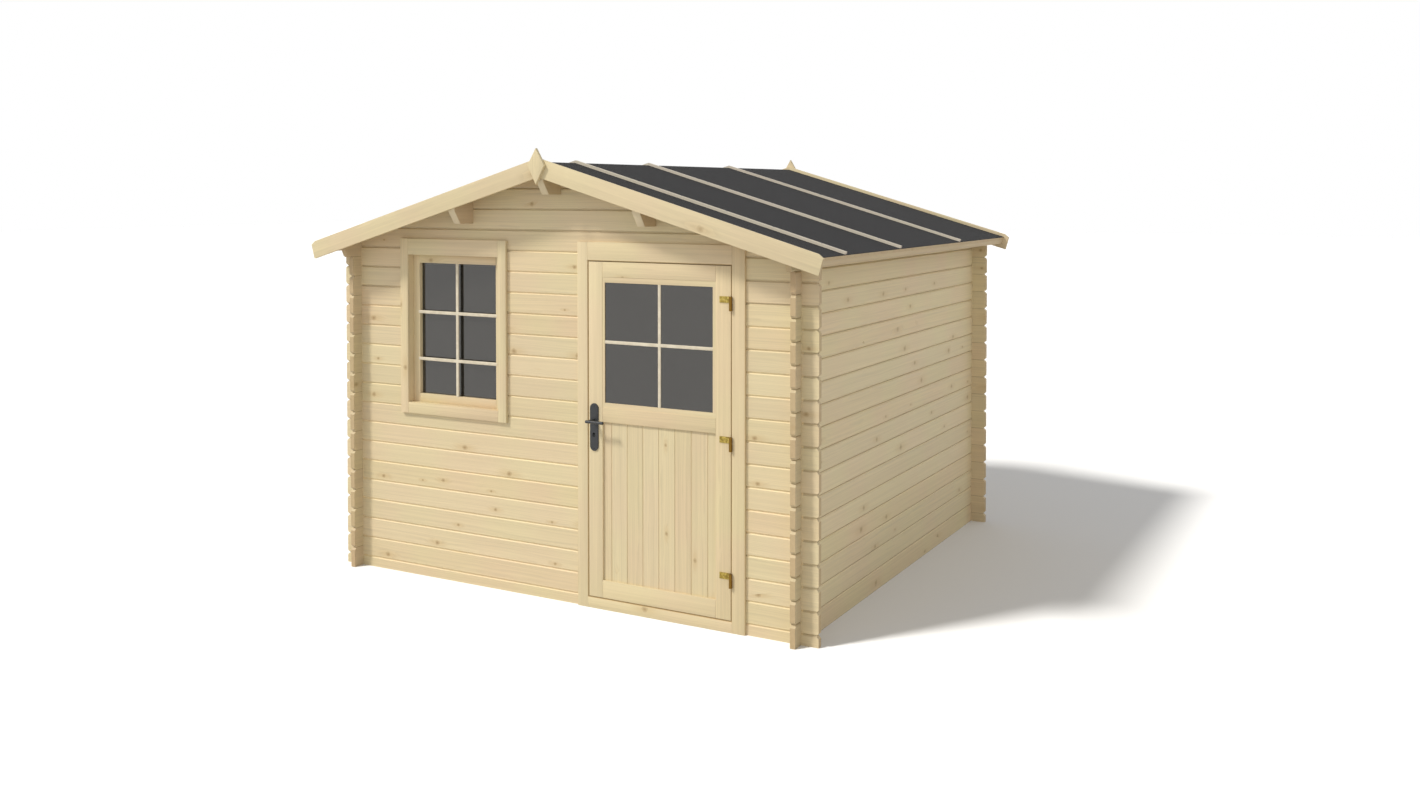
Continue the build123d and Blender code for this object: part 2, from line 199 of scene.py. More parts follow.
def paint(red, green, blue):
    """A colour as a picture gives it, from 0 to 255, in the light values that shaders use."""
    return tuple(((c / 255 + 0.055) / 1.055) ** 2.4 for c in (red, green, blue)) + (1.0,)


def new_finish(name, constants):
    """A material, its Principled shader with constants set, and the wire of the object's own coordinates."""
    material = bpy.data.materials.new(name)
    material.use_nodes = True
    tree = material.node_tree
    shader = tree.nodes["Principled BSDF"]
    for socket, value in constants.items():
        shader.inputs[socket].default_value = value
    return material, shader, Wire(tree.nodes.new("ShaderNodeTexCoord").outputs["Object"])


def feed(shader, **wires):
    """Links wires to the shader's sockets; Base_Color stands for Base Color."""
    for socket, wire in wires.items():
        shader.id_data.links.new(wire.socket, shader.inputs[socket.replace("_", " ")])


print("shader sums are ready")

# %% [markdown]
# ## Light, floor and background
#
# The picture has one soft sun from the front left, about 45 degrees high, and a bright white surround. The
# shadows of the eaves and the corners on the front wall give the sun's direction. The shadow on the floor
# points a little further back, so the floor has a sun of its own: light linking says which lamp reaches which
# object. The surround is white to the camera and in reflections, but lights the shed less than that, so a
# colour comes out about as it is written. It is somewhat brighter near the horizon, as a white studio is. The
# floor is treated in the same way.

# %% Suns, surround and floor
shed_sun_path = Vector((0.667, 0.667, -1.0))
floor_sun_path = Vector((0.565, 0.73, -1.0))
shed_sun_strength = 2.4
floor_sun_strength = 3.9
sun_softness = math.radians(9)
sun_colour = (1.0, 0.975, 0.93)
sky_strength = 0.64
sky_at_horizon = 1.6
sky_fall = 1.1
floor_seen = 0.82
floor_true = 0.44
floor_size = 120


def add_sun(name, path, strength):
    lamp = bpy.data.lights.new(name, "SUN")
    lamp.energy = strength
    lamp.angle = sun_softness
    lamp.color = sun_colour
    lamp_object = bpy.data.objects.new(name, lamp)
    lamp_object.rotation_euler = path.to_track_quat("-Z", "Y").to_euler()
    bpy.context.scene.collection.objects.link(lamp_object)
    return lamp_object


def seen_directly(tree):
    """1 for rays from the camera, from gloss or through glass, and 0 for rays that only carry light."""
    ray = Wire(tree.nodes.new("ShaderNodeLightPath").outputs["Is Camera Ray"])
    return ray.larger(ray.out("Is Glossy Ray")).larger(ray.out("Is Transmission Ray"))


world = bpy.data.worlds.new("surround")
world.use_nodes = True
bpy.context.scene.world = world
world_tree = world.node_tree
surround = world_tree.nodes["Background"]
surround.inputs["Color"].default_value = (1, 1, 1, 1)
_, _, height_in_sky = Wire(world_tree.nodes.new("ShaderNodeTexCoord").outputs["Generated"]).split()
sky_light = (sky_at_horizon - height_in_sky.larger(0.0) * sky_fall) * sky_strength
sky_level = sky_light + seen_directly(world_tree) * (1 - sky_light)
world_tree.links.new(sky_level.socket, surround.inputs["Strength"])

bpy.ops.object.select_all(action="DESELECT")
bpy.ops.mesh.primitive_plane_add(size=floor_size)
floor = bpy.context.object
floor.name = "floor"
floor_finish, floor_shader, _ = new_finish("pale_floor", {"Roughness": 0.9, "Specular IOR Level": 0.0})
floor_level = seen_directly(floor_finish.node_tree) * (floor_seen - floor_true) + floor_true
feed(floor_shader, Base_Color=floor_level.vector(floor_level, floor_level, floor_level))
floor.data.materials.append(floor_finish)

for name, path, strength, reach in (
    ("shed_sun", shed_sun_path, shed_sun_strength, "EXCLUDE"),
    ("floor_sun", floor_sun_path, floor_sun_strength, "INCLUDE"),
):
    sun = add_sun(name, path, strength)
    reached = bpy.data.collections.new(name + "_reach")
    reached.objects.link(floor)
    reached.collection_objects[0].light_linking.link_state = reach
    sun.light_linking.receiver_collection = reached
    print(name, "from", [round(-c, 2) for c in path])

# %% [markdown]
# ## Spruce
#
# Planed spruce is pale and straight-grained. A saw cuts a board out of a round trunk, so its grain is a slice
# through growth rings: long lines on a face, arches where the trunk sways, and arcs on a cut end. The finish
# does the same. For each point it finds the board, gives that board its own pith somewhere outside it, and
# counts rings by the distance from that pith. Knots are scattered along each board, and the rings bend round
# them. As all of it is worked out in space, faces, edges and ends of one board agree. On the front wall, the
# planed bevels of the joints get a painted highlight where the sun reaches them, and painted shade under the
# eaves and past the crossings. The sides of the side walls' log ends are painted darker, as shade.

# %% Spruce boards
ring_width = 0.0048
ring_ripple, ring_bend = 0.006, 0.008
pith_aside, pith_sway = 0.16, 0.07
pith_depth, pith_depth_spread = 0.035, 0.07
knot_run = 0.5
knot_small = 0.004
knot_spread = 0.011
knot_share = 0.34

straw = paint(218, 202, 160)
blush = paint(220, 196, 161)
pale = paint(221, 207, 172)
resin = paint(200, 172, 124)
knot_heart = paint(150, 120, 82)
knot_rim = paint(124, 96, 64)
end_tone = paint(165, 135, 95)
seam_tone = paint(112, 88, 56)
# A reddish tone for painted shade on the purlins' sides.
warm_shade_tone = paint(178, 132, 88)
seam_width = 0.0016
# Painted highlight on the joints' bevels where the sun reaches them, and painted shade where it does not.
painted_bevel_highlight = 0.11
painted_bevel_shade = 0.14
knot_stain = 0.58
rim_stain = 0.16
halo_stain = 0.4
board_spread = 0.06
late_wood_dark = 0.06
streak_dark = 0.24
blush_share, pale_share = 0.85, 0.45


def scatter_knots(place, grain, local, board_width, number, seed, start):
    """How far a point lies in a knot, on its rim and in the grain that bends round it, each from 0 to 1."""
    along, across, through = grain
    run = along / knot_run + start * 40
    spot = place.vector(run, local / board_width, number * 9 + seed)
    cell = place.node("TexVoronoi", {}, {"Vector": spot, "Scale": 1.0}, output="Position")
    knot_along, knot_across, _ = cell.split()
    size_dice, there_dice, _ = cell.out("Color").split()
    step_along = (run - knot_along) * knot_run
    step_across = local - knot_across * board_width
    lumpy = place.noise(place.vector(along * 60, across * 60, through * 60), detail=1.0)
    away = (step_along * step_along * 0.7 + step_across * step_across).root() * (0.6 + lumpy * 0.8)
    drawn_out = (step_along * step_along * 0.09 + step_across * step_across).root()
    size = size_dice * knot_spread + knot_small
    there = there_dice.above(1 - knot_share)
    knot = there * (1 - away.smooth(size * 0.2, size * 1.2))
    rim = there * (1 - abs(away - size).smooth(0, size * 0.35))
    halo = there * (1 - drawn_out.smooth(0, size * 2.8))
    return knot, rim, halo


def growth_rings(place, grain, local, number, seed, aside, deep, halo):
    """The dark late wood of rings round a pith outside the board, which bend where a knot has its halo."""
    along, across, through = grain
    ripple = place.noise(place.vector(along * 4, across * 45, through * 45))
    sway = place.noise(place.vector(along * 0.9, number * 5, seed), detail=1.0)
    off_pith = local + (aside - 0.5) * pith_aside + (sway - 0.5) * pith_sway
    depth = through + pith_depth + deep * pith_depth_spread
    radius = (off_pith * off_pith + depth * depth).root() + ripple * ring_ripple + halo * ring_bend
    ring = (radius / ring_width).fraction()
    return ring.smooth(0.3, 0.95) * (1 - ring.smooth(0.95, 1.0))


def spruce(
    name, lay, board_width, seed, shift=0.0, mark=None, level=1.0, grey=0.0, seams=None, knots=1.0,
    shade_on_bevels=None, end_shade=None, warm_shade=0.0, ends=(0.55, end_tone),
):
    """Planed boards. lay() turns x, y, z into along the grain, across it and through the board.

    mark() tells like boards apart by their place. level and grey set the tone, and knots how dark the knots
    are; a further share tints the tone reddish, as painted shade. seams are the shares of a dark line at the
    joints, inside and outside. One mask gives the joints' bevels a painted highlight, and painted shade where
    it is 1; another gives the sides of log ends painted shade. ends says how much of which colour a cut end
    takes.
    """
    material, shader, place = new_finish(name, {"Specular IOR Level": 0.25})
    x, y, z = place.split()
    along, across, through = lay(x, y, z)
    board = ((across + shift) / board_width).floor()
    local = across + shift - (board + 0.5) * board_width
    number = board + mark(x, y, z) if mark else board
    board_place = place.vector(number, seed, 0)
    dice = place.node("TexWhiteNoise", {"noise_dimensions": "2D"}, {"Vector": board_place}, output="Color")
    first, second, third = dice.split()

    grain = along, across, through
    knot, rim, halo = scatter_knots(place, grain, local, board_width, number, seed, first)
    late_wood = growth_rings(place, grain, local, number, seed, first, second, halo)
    streak = place.noise(place.vector(along * 1.1, across * 75, through * 75), detail=3.0)

    facing_along, facing_across, _ = lay(*place.out("Normal").split())
    end_grain = abs(facing_along).smooth(0.6, 0.9)
    patch = place.noise(place.vector(along * 2.4, number * 7, seed * 3), detail=1.0).smooth(0.3, 0.7)
    tone = (third * pale_share).mix((patch * blush_share).mix(straw, blush), pale)
    light = level + (first - 0.5) * board_spread - late_wood * late_wood_dark - (streak - 0.5) * streak_dark
    colour = tone.dim(light)
    # Painted shade: a share of a reddish tone, as wood in shade takes on.
    if warm_shade:
        colour = colour.tint(warm_shade, warm_shade_tone)
    colour = (halo * (halo_stain * knots)).mix(colour, resin)
    colour = (knot * (knot_stain * knots)).mix(colour, knot_heart)
    colour = (rim * (rim_stain * knots)).mix(colour, knot_rim)
    end_share, end_colour = ends
    colour = (end_grain * end_share).mix(colour, end_colour)
    # Painted shade on the sides of the log ends, past the crossings.
    if end_shade:
        colour = colour.dim(1 - (1 - end_grain) * end_shade(x, y, z))
    # The joints' bevels: a painted highlight where the sun reaches them, painted shade where it does not.
    if shade_on_bevels:
        bevel = abs(facing_across).smooth(0.3, 0.5) * through.above(0.0)
        colour = colour.dim(bevel * (painted_bevel_highlight - shade_on_bevels(x, y, z) * (painted_bevel_highlight + painted_bevel_shade)) + 1)
    if seams:
        inside, outside = seams
        seam = 1 - (board_width / 2 - abs(local)).smooth(seam_width * 0.4, seam_width)
        colour = (seam * (through.above(0.0) * (outside - inside) + inside)).mix(colour, seam_tone)
    if grey:
        colour = colour.node("HueSaturation", {}, {"Saturation": 1 - grey, "Color": colour})
    relief = late_wood * 0.5 + streak * 0.5 + knot
    feed(shader, Base_Color=colour, Roughness=0.62 - late_wood * 0.12, Normal=relief.bump(0.3, 0.0006))
    return material


def dress(finish, *names):
    """Gives CAD nodes their finish."""
    for name in names:
        mesh = nodes[name].data
        mesh.materials.clear()
        mesh.materials.append(finish)


board_height = 0.114
front_middle = 1.356
side_middle = 1.422
crossing_end = 1.445
roof_pitch = math.radians(16.2)
roof_slope = math.tan(roof_pitch)
shade_from, shade_full = 1.92, 2.0
# Where the painted shade on the sides of the log ends starts and is full, and how dark it is.
log_end_from, log_end_full = 1.36, 1.38
log_end_painted_shade = 0.16


def gable_boards(x, y, z):
    return x, z, abs(y) - front_middle


def unlit_joints(x, y, z):
    """1 near the roof and past the crossings, where a joint is not lit by the sun."""
    return (z + abs(x) * roof_slope).smooth(shade_from, shade_full).larger(abs(x).above(crossing_end))


wall_front = spruce(
    "spruce_front_boards", gable_boards, board_height, 3.1, shift=board_height / 2, seams=(0.6, 0.0),
    knots=1.15, shade_on_bevels=unlit_joints,
)
wall_back = spruce(
    "spruce_back_boards", gable_boards, board_height, 5.3, shift=board_height / 2, seams=(0.6, 0.7),
)
# The sides of the log ends, past the crossings, are painted darker, as shade.
wall_side = spruce(
    "spruce_side_boards", lambda x, y, z: (y, z, abs(x) - side_middle), board_height, 7.7,
    # The side walls are painted 3% lighter, a painted light that lifts their shade.
    mark=lambda x, y, z: x.above(0.0) * 37, level=1.03, seams=(0.6, 0.7), knots=0.9,
    end_shade=lambda x, y, z: abs(y).smooth(log_end_from, log_end_full) * log_end_painted_shade,
)
front_pieces = [n for n in nodes if n.startswith("front_wall")] + ["front_gable"]
dress(wall_front, *front_pieces)
dress(wall_back, "back_wall")
dress(wall_side, "left_wall", "right_wall", "top_side_logs")
print("wall boards dressed:", len(front_pieces) + 4, "nodes")

# %% [markdown]
# ## Joinery
#
# The door, the window, the frame and the roof timbers are the same spruce, but each piece is its own length
# of wood with its own direction of grain. Grain runs along a piece, so posts, rails, sloping boards and
# purlins each get a lay of their own, and a mark by position makes two like pieces differ.

# %% Spruce for posts, rails, slopes and purlins
pitch_run = math.cos(roof_pitch)
pitch_drop = math.sin(roof_pitch)
door_face = 1.39
finial_face = 1.55
purlin_height = 2.0
piece_width = 0.30
rail_shift = 0.1
batten_board = 0.25


def sloping(x, y, z):
    """Along the slope, across it in the gable's plane, and through from front to back."""
    return abs(x) * pitch_run - z * pitch_drop, abs(x) * pitch_drop + z * pitch_run, y


def on_slope(x, y, z):
    """Along the slope, across it from front to back, and through the roof."""
    return abs(x) * pitch_run - z * pitch_drop, y, abs(x) * pitch_drop + z * pitch_run - roof_plane


def by_quarter(x, y, z):
    return x.above(0.0) * 3 + y.above(0.0) * 7


roof_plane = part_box("ridge_purlin")[1].z * pitch_run
# Pale cut ends for the purlins, a painted light where the sun falls on them.
purlin_lit_end = paint(222, 206, 172)
barge_board = 0.12
barge_width = 0.097
barge_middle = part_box("front_bargeboard_right")[1].z * pitch_run - barge_width / 2
post_wood = spruce(
    "spruce_posts", lambda x, y, z: (z, x, y + door_face), piece_width, 11.3,
    mark=lambda x, y, z: y.above(0.0) * 5,
)
rail_wood = spruce(
    "spruce_rails", lambda x, y, z: (x, z, y + door_face), piece_width, 13.9, shift=rail_shift,
)
finial_wood = spruce(
    "spruce_finials", lambda x, y, z: (z, x, abs(y) - finial_face), piece_width, 15.1, shift=piece_width / 2,
    mark=lambda x, y, z: y.above(0.0) * 5,
)
# The purlins and eaves battens are painted darker and reddish, as shade, and their ends pale, as if lit.
purlin_wood = spruce(
    "spruce_purlins", lambda x, y, z: (y, x, z - purlin_height), piece_width, 17.2, shift=piece_width / 2,
    level=0.84, warm_shade=0.22, ends=(0.9, purlin_lit_end),
)
barge_wood = spruce(
    "spruce_bargeboards", sloping, barge_board, 19.4, shift=barge_board / 2 - barge_middle, mark=by_quarter,
    knots=0.7,
)
batten_wood = spruce("spruce_battens", on_slope, batten_board, 23.8, mark=by_quarter, level=0.9, grey=0.45)
panel_middle = 0.631
panel_board = 0.096
panel_wood = spruce(
    "spruce_panel_boards", lambda x, y, z: (z, x - panel_middle, y + door_face), panel_board, 29.5,
    level=0.98,
)

dress(post_wood, "door_left_jamb", "door_right_jamb", "door_lock_stile", "door_hinge_stile")
dress(post_wood, "window_side_casings", "window_sash_stiles")
dress(finial_wood, "front_finial", "back_finial")
dress(rail_wood, "door_head", "door_threshold", "door_rails")
dress(rail_wood, "window_head", "window_sill", "window_sash_rails")
dress(purlin_wood, "ridge_purlin", "left_purlin", "right_purlin", "eaves_batten_left", "eaves_batten_right")
dress(barge_wood, *[n for n in nodes if "bargeboard" in n])
dress(batten_wood, "roof_battens_left", "roof_battens_right", "roof_boards_left", "roof_boards_right")
dress(panel_wood, "door_panel")
print("joinery dressed")

# %% [markdown]
# ## Felt, glass and metal
#
# Roofing felt is bitumen with fine slate grit: dark, quite matt, speckled close by. The panes are thin and
# lie before a dark room. Their grey is the white surround, mirrored in the glass, so it stays even where a
# shadow falls. The hinges are brass that has dulled a little, their knuckles painted darker, as shade, and
# the handle is satin black.

# %% Felt, glass, brass and black metal
felt_width = 0.77
knuckle_from, knuckle_full = 1.046, 1.054


def roofing_felt():
    material, shader, place = new_finish("roofing_felt", {"Specular IOR Level": 0.25})
    grit = place.noise(place, scale=420.0, detail=2.0).smooth(0.35, 0.7)
    patches = place.noise(place, scale=2.2, detail=3.0)
    _, y, _ = place.split()
    sheets = place.noise(place.vector((y / felt_width).floor() * 3.7, 0.0, 0.0), detail=0.0)
    light = 0.86 + patches * 0.2 + (sheets - 0.5) * 0.15
    colour = grit.mix(paint(22, 22, 23), paint(48, 47, 48)).dim(light)
    feed(shader, Base_Color=colour, Roughness=0.94 - grit * 0.16, Normal=grit.bump(0.5, 0.001))
    return material


def window_glass():
    constants = {"IOR": 1.5, "Specular IOR Level": 1.0, "Alpha": 0.92}
    material, shader, place = new_finish("window_glass", constants)
    film = place.noise(place, scale=5.0, detail=4.0)
    feed(shader, Base_Color=film.mix(paint(42, 40, 36), paint(50, 48, 44)), Roughness=0.02 + film * 0.04)
    return material


def hinge_brass():
    material, shader, place = new_finish("hinge_brass", {"Metallic": 1.0})
    dull = place.noise(place, scale=90.0, detail=4.0)
    x, _, _ = place.split()
    # The knuckles are painted darker, as shade.
    knuckle_shade = x.smooth(knuckle_from, knuckle_full)
    plate_brass = dull.smooth(0.3, 0.75).mix(paint(190, 168, 92), paint(124, 104, 46))
    colour = knuckle_shade.mix(plate_brass, paint(128, 98, 44))
    feed(shader, Base_Color=colour, Roughness=0.3 + dull * 0.25, Normal=dull.bump(0.08, 0.0005))
    return material


def handle_black():
    material, shader, place = new_finish("handle_black", {"Specular IOR Level": 0.4})
    grain = place.noise(place, scale=1400.0, detail=1.0)
    worn = place.noise(place, scale=30.0, detail=3.0)
    colour = worn.mix(paint(42, 43, 45), paint(62, 64, 66))
    feed(shader, Base_Color=colour, Roughness=0.36 + worn * 0.2, Normal=grain.bump(0.12, 0.0003))
    return material


def white_lacquer():
    """The bars: thin whitish lacquer, with the grain just showing along the brush marks."""
    material, shader, place = new_finish("white_lacquer", {"Specular IOR Level": 0.35})
    x, y, z = place.split()
    brush = place.noise(place.vector(x * 30, y * 300, z * 30), detail=3.0)
    colour = brush.smooth(0.3, 0.7).mix(paint(208, 197, 174), paint(222, 212, 190))
    feed(shader, Base_Color=colour, Roughness=0.42 + brush * 0.15, Normal=brush.bump(0.15, 0.0004))
    return material


felt, glass, brass, black = roofing_felt(), window_glass(), hinge_brass(), handle_black()
lacquer = white_lacquer()
dress(felt, "roof_felt_left", "roof_felt_right")
dress(glass, "door_glass", "window_glass")
dress(brass, "hinge_leaves", "hinge_pins")
dress(black, "handle_plates", "lever_handle")
print("felt, glass, brass and black metal dressed")

# %% [markdown]
# ## Tools for modelling
#
# The fine pieces are modelled as they would be by hand: a block at its size and place, then edges and faces
# picked and shaped. An operator works on all that is selected, so each tool first clears the selection. Edges
# are picked by their middle and their direction, faces by their middle and their normal.

# %% Blocks, picking and closing
smooth_below = math.radians(35)
touching = 0.0001


def clear_selection():
    if bpy.context.object and bpy.context.object.mode == "EDIT":
        bpy.ops.object.mode_set(mode="OBJECT")
    bpy.ops.object.select_all(action="DESELECT")


def take(piece):
    """Makes a piece the only one that operators work on."""
    clear_selection()
    piece.select_set(True)
    bpy.context.view_layer.objects.active = piece
    return piece


def settle():
    """Puts the piece's place, turn and scale into its mesh."""
    bpy.ops.object.transform_apply(location=True, rotation=True, scale=True)


def start_block(name, low, high):
    clear_selection()
    low, high = Vector(low), Vector(high)
    bpy.ops.mesh.primitive_cube_add(size=1, location=(low + high) / 2, scale=high - low)
    settle()
    piece = bpy.context.object
    piece.name = piece.data.name = name
    return piece


def pick(piece, faces=None, edges=None):
    """Opens a piece in edit mode with the faces or edges selected that pass a test."""
    take(piece)
    mesh = piece.data
    bpy.context.tool_settings.mesh_select_mode = (False, edges is not None, faces is not None)
    for point in mesh.vertices:
        point.select = False
    for face in mesh.polygons:
        face.select = bool(faces and faces(face.center, face.normal))
    for edge in mesh.edges:
        first, second = (mesh.vertices[i].co for i in edge.vertices)
        edge.select = bool(edges and edges((first + second) / 2, (second - first).normalized()))
    bpy.ops.object.mode_set(mode="EDIT")


def pick_all(piece):
    pick(piece, faces=lambda middle, normal: True)


def close(piece):
    """Ends the shaping: normals outwards, flat faces flat and rounded ones smooth."""
    pick_all(piece)
    bpy.ops.mesh.normals_make_consistent(inside=False)
    bpy.ops.object.mode_set(mode="OBJECT")
    bpy.ops.object.shade_smooth_by_angle(angle=smooth_below)
    return piece


def fit_out(piece, body, finish):
    """Says what a new piece rides on and what it is made of."""
    piece.data.materials.clear()
    piece.data.materials.append(finish)
    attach(piece, body)
    return piece


def join(name, parts):
    """Several meshes as one piece."""
    take(parts[0])
    for part in parts:
        part.select_set(True)
    if len(parts) > 1:
        bpy.ops.object.join()
    parts[0].name = parts[0].data.name = name
    return parts[0]


print("modelling tools are ready")

# %% [markdown]
# ## Roof boards
#
# Under the felt lies a deck of narrow tongued boards that run from the ridge to the eaves. From below, at the
# overhangs and from indoors, each joint shows as a small V. One board is shaped with its two lower edges
# bevelled, an array sets the rest beside it, the deck is laid on the slope, and a cut at the ridge gives the
# plumb end where two decks meet.

# %% Boarded decks
deck_thick = 0.016
deck_boards = 34
deck_bevel = 0.0035
deck_low, deck_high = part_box("roof_boards_right")
deck_run = (deck_high.y - deck_low.y) / deck_boards
deck_length = (deck_high.x - deck_thick * pitch_drop) / pitch_run
ridge_low = deck_high.z - deck_thick / pitch_run
ridge_spare = 0.02

deck = start_block("roof_deck_right", (-ridge_spare, 0, 0), (deck_length, deck_run, deck_thick))
pick(deck, edges=lambda middle, way: abs(way.x) > 0.9 and middle.z < deck_thick / 2)
bpy.ops.mesh.bevel(offset=deck_bevel, segments=1, affect="EDGES")
bpy.ops.object.mode_set(mode="OBJECT")
rows = deck.modifiers.new("rows", "ARRAY")
rows.count = deck_boards
rows.use_relative_offset = False
rows.use_constant_offset = True
rows.constant_offset_displace = (0, deck_run, 0)
bpy.ops.object.modifier_apply(modifier="rows")
deck.rotation_euler.y = roof_pitch
deck.location = (0, deck_low.y, ridge_low)
settle()
pick_all(deck)
bpy.ops.mesh.bisect(plane_co=(0, 0, 0), plane_no=(1, 0, 0), use_fill=True, clear_inner=True)
close(deck)

take(deck)
bpy.ops.object.duplicate()
left_deck = bpy.context.object
left_deck.name = left_deck.data.name = "roof_deck_left"
left_deck.scale.x = -1
settle()
close(left_deck)
deck_wood = spruce(
    "spruce_roof_boards", on_slope, deck_run, 31.6, shift=-deck_low.y,
    mark=lambda x, y, z: x.above(0.0) * 41, seams=(0.5, 0.5),
)
for piece, node in ((deck, "roof_boards_right"), (left_deck, "roof_boards_left")):
    fit_out(piece, "shed", deck_wood)
    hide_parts(node)
    print(piece.name, len(piece.data.polygons), "faces")

# %% [markdown]
# ## Window bars
#
# A loose grid of bars is let into the front of the sash, well before the pane: one upright and two level
# bars. Their front edges are rounded, the level ones lap onto the sash, and the bars are halved into each
# other where they cross. Each bar is a block with its front edges bevelled, and a union makes the grid one
# piece.

# %% Window bars
def bar(name, low, high, round_edge):
    """A glazing bar with its long front edges rounded."""
    piece = start_block(name, low, high)
    size = Vector(high) - Vector(low)
    way = 0 if size.x > size.z else 2
    front = (low[1] + high[1]) / 2
    pick(piece, edges=lambda middle, line: abs(line[way]) > 0.9 and middle.y < front)
    bpy.ops.mesh.bevel(offset=round_edge, segments=3, affect="EDGES")
    return close(piece)


def unite(name, parts):
    """Bars that cross, made one by a union."""
    whole = parts[0]
    for part in parts[1:]:
        take(whole)
        union = whole.modifiers.new("union", "BOOLEAN")
        union.operation = "UNION"
        union.object = part
        bpy.ops.object.modifier_apply(modifier="union")
        bpy.data.objects.remove(part)
    whole.name = whole.data.name = name
    return whole


window_bar = 0.018
bar_depth = 0.008
bar_proud = 0.0015
bar_lap = 0.008
bar_edge = 0.003
bar_shares = (0.267, 0.625)
sash_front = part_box("window_sash_stiles")[0].y
pane_left, pane_right = (corner.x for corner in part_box("window_sash_rails"))
sash_low, sash_high = (corner.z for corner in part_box("window_sash_rails"))
sash_width = pane_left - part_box("window_sash_stiles")[0].x
pane_low, pane_high = sash_low + sash_width, sash_high - sash_width
pane_middle = (pane_left + pane_right) / 2
pane_height = pane_high - pane_low
near, far = sash_front - bar_proud, sash_front - bar_proud + bar_depth
half = window_bar / 2

low, high = (pane_middle - half, near, pane_low), (pane_middle + half, far, pane_high)
window_grid = [bar("window_upright_bar", low, high, bar_edge)]
for share in bar_shares:
    height = pane_low + share * pane_height
    low, high = (pane_left - bar_lap, near, height - half), (pane_right + bar_lap, far, height + half)
    window_grid.append(bar("window_level_bar", low, high, bar_edge))
window_bars = fit_out(close(unite("window_bars", window_grid)), "shed", lacquer)
print("window bars", [round(v, 3) for v in window_bars.dimensions])

# %% [markdown]
# ## Glazing beads
#
# A pane lies in the opening of a door or sash, held by a bead all round on each face. A bead is a flat frame
# whose inner edge slopes towards the glass. It starts as a block the size of the opening. Both its faces are
# inset, the insets are scaled to the part of the pane that shows, a bridge between them opens the frame, and
# a bevel slopes the edge. Its grain runs along each of its four sides.

# %% Beads of the door and the window
def bead(name, low, high, pane_low, pane_high, front_outside=True, slope=0.6):
    """A frame between an opening and the pane that shows in it, sloped on the side away from the glass."""
    piece = start_block(name, low, high)
    pick(piece, faces=lambda middle, normal: abs(normal.y) > 0.9)
    edge = 0.001
    bpy.ops.mesh.inset(thickness=edge, depth=0)
    low, high = Vector(low), Vector(high)
    old_middle, new_middle = (low + high) / 2, (Vector(pane_low) + Vector(pane_high)) / 2
    grow_x = (pane_high[0] - pane_low[0]) / (high.x - low.x - 2 * edge)
    grow_z = (pane_high[2] - pane_low[2]) / (high.z - low.z - 2 * edge)
    bpy.ops.transform.resize(value=(grow_x, 1, grow_z), center_override=old_middle)
    bpy.ops.transform.translate(value=(new_middle.x - old_middle.x, 0, new_middle.z - old_middle.z))
    bpy.ops.mesh.bridge_edge_loops()
    bpy.ops.object.mode_set(mode="OBJECT")
    outer_y = low.y if front_outside else high.y

    def on_inner_edge(middle, line):
        inside_x = pane_low[0] - edge < middle.x < pane_high[0] + edge
        inside_z = pane_low[2] - edge < middle.z < pane_high[2] + edge
        return abs(middle.y - outer_y) < touching and inside_x and inside_z

    pick(piece, edges=on_inner_edge)
    bpy.ops.mesh.bevel(offset=(high.y - low.y) * slope, segments=2, affect="EDGES")
    return close(piece)


def round_pane(middle_z, half_height):
    """Grain along each side of a frame: level above and below the pane, upright beside it."""
    def lay(x, y, z):
        level_side = abs(z - middle_z).above(half_height)
        upright_side = 1 - level_side
        return x * level_side + z * upright_side, z * level_side + x * upright_side, y + door_face
    return lay


bead_short = 0.002
whole_board = 6.0
door_opening_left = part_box("door_lock_stile")[1].x
door_opening_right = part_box("door_hinge_stile")[0].x
door_front, door_back = (corner.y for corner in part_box("door_lock_stile"))
glass_low, glass_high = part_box("door_glass")
glass_lap = door_opening_left - glass_low.x
opening_low, opening_high = glass_low.z + glass_lap, glass_high.z - glass_lap
door_pane_low = Vector((0.307, 0, 1.096))
door_pane_high = Vector((0.951, 0, 1.728))
door_pane_middle = (door_pane_low + door_pane_high) / 2
door_bead_lay = round_pane(door_pane_middle.z, door_pane_high.z - door_pane_middle.z)
bead_wood = spruce("spruce_door_beads", door_bead_lay, whole_board, 33.3, shift=whole_board / 2)
for side, near, far, front_outside in (
    ("outer", door_front + bead_short, glass_low.y, True),
    ("inner", glass_high.y, door_back - bead_short, False),
):
    ring = bead(
        "door_bead_" + side,
        (door_opening_left, near, opening_low),
        (door_opening_right, far, opening_high),
        door_pane_low,
        door_pane_high,
        front_outside,
    )
    fit_out(ring, "door", bead_wood)

window_bead_width = 0.012
window_glass_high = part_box("window_glass")[1]
window_bead = bead(
    "window_bead_inner",
    (pane_left, window_glass_high.y, pane_low),
    (pane_right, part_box("window_sash_stiles")[1].y - bead_short, pane_high),
    (pane_left + window_bead_width, 0, pane_low + window_bead_width),
    (pane_right - window_bead_width, 0, pane_high - window_bead_width),
    False,
)
pane_halfway = (pane_low + pane_high) / 2
sash_bead_lay = round_pane(pane_halfway, pane_height / 2 - window_bead_width)
sash_bead_wood = spruce("spruce_sash_beads", sash_bead_lay, whole_board, 35.2, shift=whole_board / 2)
fit_out(window_bead, "shed", sash_bead_wood)
print("bead round the door's pane", [round(v, 3) for v in door_pane_high - door_pane_low])

# %% [markdown]
# ## Draught strip
#
# The leaf needs room to swing, so a gap runs all round it. A strip of brown felt on the frame narrows it,
# just behind the face of the leaf, and leaves the leaf free to pass. It is one more frame with an open
# middle, made in the same way as a bead, but slimmer.

# %% Felt strip in the gap round the leaf
leaf_gap = 0.007
strip_wide = 0.004
strip_set, strip_deep = 0.001, 0.008
strip_slope = 0.2


